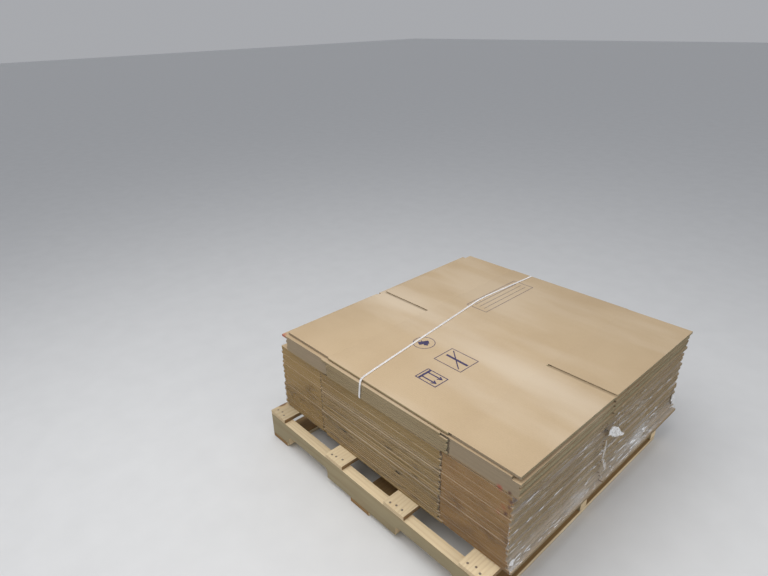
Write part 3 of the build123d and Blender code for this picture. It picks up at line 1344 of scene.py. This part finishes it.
class LOAD_OT_film(bpy.types.Operator):
    """Wrap the lower bundles in stretch film"""

    bl_idname = "load.film"
    bl_label = "Stretch film"

    def execute(self, context):
        film = settings("film")
        self.wrap(film)
        looks = {
            cover: gathered_film_finish(film, f"gathered_film_{round(cover * 100)}", cover)
            for cover in sorted({scrap[2] for scrap in FILM_SCRAPS})
        }
        for number, (places, wide, cover) in enumerate(FILM_SCRAPS, start=1):
            crumple(f"film_scrap_{number}", places, wide, looks[cover], number)
        return {"FINISHED"}

    def wrap(self, film):
        """The film round the stack, drawn in where cartons lie further back."""
        low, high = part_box("stretch_film")
        centre, size = size_of("stretch_film")
        wrap = block("stretch_film_wrap", centre, size)
        pick(wrap, lambda place, normal: abs(normal.z) > 0.9)
        bpy.ops.mesh.delete(type="FACE")
        levels = spread(low.z, high.z, FILM_RISE)
        cut(Z, *levels)
        leave()
        reach = {
            round(level, 5): {
                side: film_reach(level, side, film)
                for side in ((X, -1), (X, 1), (Y, -1), (Y, 1))
            }
            for level in (low.z, *levels, high.z)
        }
        for vertex in wrap.data.vertices:
            level = min(reach, key=lambda place: abs(place - vertex.co.z))
            for axis in (X, Y):
                sign = 1 if vertex.co[axis] > centre[axis] else -1
                vertex.co[axis] = reach[level][(axis, sign)]
        pick(wrap, lambda start, end: abs(start.z - end.z) > 0.001, "EDGE")
        bpy.ops.mesh.bevel(offset=film.corner, segments=3)
        slice_up("stretch_film", (X, FILM_STEP), (Y, FILM_STEP))
        leave()
        streak = clouds("film_streaks", 0.020, 2)
        streak.noise_type = "HARD_NOISE"
        stretched = ruler("film_ruler", (0.3, 0.1, 0.0), (9.0, 9.0, 0.6))
        displace(wrap, streak, "NORMAL", film.wrinkle, 0.35, stretched)
        tug = clouds("film_tugs", 0.060)
        displace(wrap, tug, "NORMAL", film.wrinkle * 0.6, 0.35)
        remove(stretched)
        apply_modifier(wrap, "SOLIDIFY", thickness=FILM_THICKNESS, offset=0.0)
        smooth(wrap, 60)
        seat(wrap, "clear_film", "stretch_film", look=film_finish(film))


# Twine

STRANDS = 4
# A strand's radius as a share of the twine's thickness
STRAND_SHARE = 0.29


def bend(before, corner, after, lead=0.012):
    """Three control points that round a corner of the route."""
    return [
        corner + (before - corner).normalized() * lead,
        corner,
        corner + (after - corner).normalized() * lead,
    ]


def twine_route(twine):
    """Control points of the twine's closed line round the top bundle."""
    radius = twine.diameter / 2
    low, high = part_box("bundle_string")
    top = high.z - radius
    under = low.z + radius
    back = high.y - radius
    front_low = Vector((-0.0675, -0.4789, under))
    over_rim = [
        Vector((-0.0622, -0.4790, 0.4240)),
        Vector((-0.0605, -0.4789, 0.4385)),
        Vector((-0.0625, -0.4750, 0.4462)),
        Vector((-0.0665, -0.4665, top - 0.0004)),
        Vector((-0.0725, -0.4400, top)),
    ]
    middle = Vector((-0.15645, 0.2203, top))
    back_top = Vector((-0.13845, back, top))
    back_low = Vector((-0.13845, back, under))
    return [
        *bend(back_low, front_low, over_rim[0]),
        *over_rim,
        *bend(over_rim[-1], middle, back_top, 0.09),
        *bend(middle, back_top, back_low),
        *bend(back_top, back_low, front_low),
    ]


def closed_curve(name, kind, places):
    curve = bpy.data.curves.new(name, "CURVE")
    curve.dimensions = "3D"
    spline = curve.splines.new(kind)
    spline.points.add(len(places) - 1)
    for point, place in zip(spline.points, places):
        point.co = (*place, 1.0)
    spline.use_cyclic_u = True
    return linked(name, curve)


def line_through(points):
    """Places along a smooth closed line with these control points."""
    route = closed_curve("route", "NURBS", points)
    spline = route.data.splines[0]
    spline.order_u = 3
    spline.resolution_u = 24
    line = bpy.data.meshes.new_from_object(route)
    places = [vertex.co.copy() for vertex in line.vertices]
    remove(route)
    return places


def spaced(places, step):
    """Places a step apart along a closed line, and the line's length."""
    closed = [*places, places[0]]
    total = sum((b - a).length for a, b in zip(closed, closed[1:]))
    count = round(total / step)
    out = []
    travelled, target = 0.0, 0.0
    for a, b in zip(closed, closed[1:]):
        run = (b - a).length
        while target <= travelled + run and len(out) < count:
            out.append(a.lerp(b, (target - travelled) / run if run else 0.0))
            target += total / count
        travelled += run
    return out, total


def strand_line(twine, places, turns, start):
    """One strand's places, wound round the twine's flattened middle."""
    strand = twine.diameter * STRAND_SHARE
    rise = twine.diameter / 2 - strand
    reach = twine.width / 2 - strand
    wound = []
    for i, place in enumerate(places):
        heading = (places[(i + 1) % len(places)] - places[i - 1]).normalized()
        side = Vector((1, 0, 0))
        side = (side - heading * side.dot(heading)).normalized()
        lift = side.cross(heading)
        angle = math.tau * (turns * i / len(places) + start)
        wound.append(place + side * reach * math.cos(angle) + lift * rise * math.sin(angle))
    return wound, strand


class LOAD_OT_twine(bpy.types.Operator):
    """Twist the white twine round the top bundle"""

    bl_idname = "load.twine"
    bl_label = "Twine"

    def execute(self, context):
        twine = settings("twine")
        places, total = spaced(line_through(twine_route(twine)), twine.lay / 8)
        turns = round(total / twine.lay)
        strands = []
        for number in range(STRANDS):
            wound, radius = strand_line(twine, places, turns, number / STRANDS)
            made = closed_curve("strand", "POLY", wound)
            made.data.bevel_depth = radius
            made.data.bevel_resolution = 1
            activate(made)
            bpy.ops.object.convert(target="MESH")
            strands.append(bpy.context.active_object)
        string = join("bundle_twine", strands)
        settle(string, settings("cartons"), creeping=False)
        smooth(string, 60)
        seat(string, "white_string", "bundle_string", look=twine_finish(twine))
        return {"FINISHED"}


# Stage

# The photo's camera: azimuth, elevation and roll in degrees, place, focal length in
# pixels and the photo's width
CAMERA_TURNS = (48.102, 25.296, -1.496)
CAMERA_PLACE = (1.08483, -1.39677, 1.45243)
FOCAL_PIXELS = 574.10
PHOTO_WIDTH = 768
SENSOR_WIDTH = 36.0


class LOAD_OT_stage(bpy.types.Operator):
    """Set up the floor, the soft light and the camera"""

    bl_idname = "load.stage"
    bl_label = "Stage"

    def execute(self, context):
        stage = settings("stage")
        self.floor(stage)
        self.light(context.scene, stage)
        self.camera(context.scene)
        context.scene.view_settings.view_transform = "Standard"
        return {"FINISHED"}

    def floor(self, stage):
        deselect()
        bpy.ops.mesh.primitive_plane_add(size=60, location=(0, 0, 0))
        floor = named("floor")
        look = Finish("floor_paint")
        grain = look.noise(9.0, detail=3.0)
        paint = look.tint(stage.floor, (grain, 0.97, 1.03))
        floor.data.materials.append(look.surface(Base_Color=paint, Roughness=0.6))

    def light(self, scene, stage):
        world = bpy.data.worlds.new("room")
        world.use_nodes = True
        scene.world = world
        background = world.node_tree.nodes["Background"]
        background.inputs["Color"].default_value = (0.93, 0.95, 1.0, 1.0)
        background.inputs["Strength"].default_value = stage.sky
        for name, place, aim, size, power in (
            ("overhead", (-0.2, -0.9, 2.8), (0.0, 0.0, 0.3), 2.6, stage.key_power),
            ("front_fill", (-1.2, -2.8, 1.6), (0.0, 0.0, 0.2), 1.8, stage.fill_power * 0.2),
            ("side_fill", (3.0, 0.3, 1.7), (0.0, 0.0, 0.2), 1.8, stage.fill_power),
        ):
            lamp = bpy.data.lights.new(name, "AREA")
            lamp.size = size
            lamp.energy = power
            lamp.color = (1.0, 0.98, 0.95)
            holder = linked(name, lamp)
            holder.location = place
            holder.rotation_mode = "QUATERNION"
            look = Vector(aim) - Vector(place)
            holder.rotation_quaternion = look.to_track_quat("-Z", "Y")

    def camera(self, scene):
        azimuth, elevation, roll = (math.radians(turn) for turn in CAMERA_TURNS)
        view = bpy.data.cameras.new("photo_view")
        view.sensor_width = SENSOR_WIDTH
        view.lens = SENSOR_WIDTH * FOCAL_PIXELS / PHOTO_WIDTH
        view.clip_start = 0.05
        view.clip_end = 100.0
        camera = linked("photo_view", view)
        camera.matrix_world = (
            Matrix.Translation(CAMERA_PLACE)
            @ Matrix.Rotation(azimuth, 4, "Z")
            @ Matrix.Rotation(math.pi / 2 - elevation, 4, "X")
            @ Matrix.Rotation(roll, 4, "Z")
        )
        scene.camera = camera


class LOAD_PT_panel(bpy.types.Panel):
    """Lists the load's operators and settings"""

    bl_label = "Pallet Load"
    bl_idname = "LOAD_PT_panel"
    bl_space_type = "VIEW_3D"
    bl_region_type = "UI"
    bl_category = "Pallet Load"

    def draw(self, context):
        for operator, group in STEPS:
            self.layout.operator(operator.bl_idname)
            values = settings(group)
            for name in values.bl_rna.properties.keys():
                if name not in ("rna_type", "name"):
                    self.layout.prop(values, name)


GROUPS = {
    "cartons": CartonSettings,
    "wood": WoodSettings,
    "film": FilmSettings,
    "twine": TwineSettings,
    "stage": StageSettings,
}
STEPS = (
    (LOAD_OT_stage, "stage"),
    (LOAD_OT_pallet, "wood"),
    (LOAD_OT_cartons, "cartons"),
    (LOAD_OT_marks, "cartons"),
    (LOAD_OT_film, "film"),
    (LOAD_OT_twine, "twine"),
)
CLASSES = (*GROUPS.values(), *(operator for operator, _ in STEPS), LOAD_PT_panel)


def register():
    for made in CLASSES:
        bpy.utils.register_class(made)
    for name, group in GROUPS.items():
        pointer = bpy.props.PointerProperty(type=group)
        setattr(bpy.types.Scene, "load_" + name, pointer)


def unregister():
    for name in GROUPS:
        delattr(bpy.types.Scene, "load_" + name)
    for made in reversed(CLASSES):
        bpy.utils.unregister_class(made)


def main():
    register()
    for operator, _ in STEPS:
        namespace, name = operator.bl_idname.split(".")
        getattr(getattr(bpy.ops, namespace), name)()


if __name__ == "__main__":
    main()
